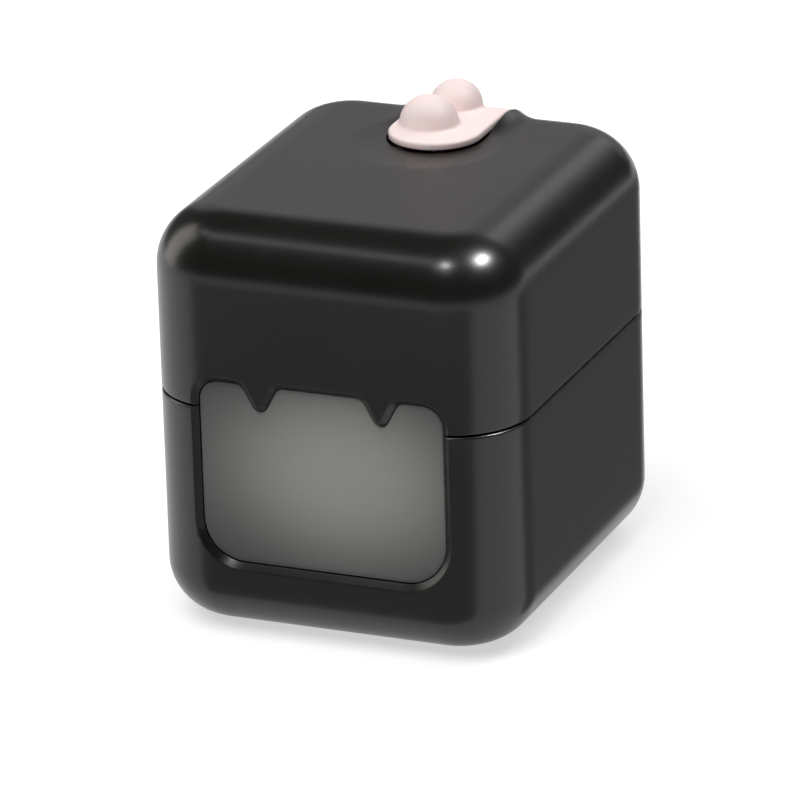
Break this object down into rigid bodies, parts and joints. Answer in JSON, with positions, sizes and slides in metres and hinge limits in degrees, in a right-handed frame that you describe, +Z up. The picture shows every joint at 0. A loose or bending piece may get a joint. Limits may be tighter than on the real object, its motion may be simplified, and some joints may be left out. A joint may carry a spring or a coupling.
{
  "type": "cotton pad travel case",
  "caption": "Rounded box with a hinged flip lid, a frosted cup behind a front window with drip-shaped top, and a press tab with two domes that frees the catch.",
  "frame": {"origin": "on the surface the case stands on, under the centre of the whole case's bounding box", "axes": "+X to the case's right seen from the window, -Y out of the window, +Z up"},
  "size_m": [0.074, 0.091, 0.0896],
  "materials": {
    "black_plastic": "satin moulded plastic",
    "frosted_plastic": "frosted translucent plastic",
    "pink_plastic": "matt moulded plastic",
    "steel": "drawn wire and rod",
    "rubber": "matt"
  },
  "bodies": {
    "base": {"base_shell": "black_plastic", "inner_cup": "frosted_plastic", "catch_leaf": "steel", "hinge_pin": "steel", "foot_front_left": "rubber", "foot_front_right": "rubber", "foot_rear_left": "rubber", "foot_rear_right": "rubber"},
    "lid": {"lid_shell": "black_plastic", "tab_pin": "steel", "tab_spring": "steel", "hinge_spring": "steel"},
    "tab": {"press_tab": "pink_plastic"}
  },
  "joints": [
    {"name": "lid_hinge", "type": "hinge", "parent": "base", "child": "lid", "pos_m": [0, 0.0413, 0.0463], "axis": [-1, 0, 0], "range_deg": [0, 100], "deforming": ["catch_leaf", "hinge_spring"]},
    {"name": "tab_press", "type": "hinge", "parent": "lid", "child": "tab", "pos_m": [0, 0.033, 0.0784], "axis": [1, 0, 0], "range_deg": [0, 2.7], "stiffness_Nm_per_rad": 0.2, "springref_deg": -8.59, "deforming": ["tab_spring"]}
  ]
}
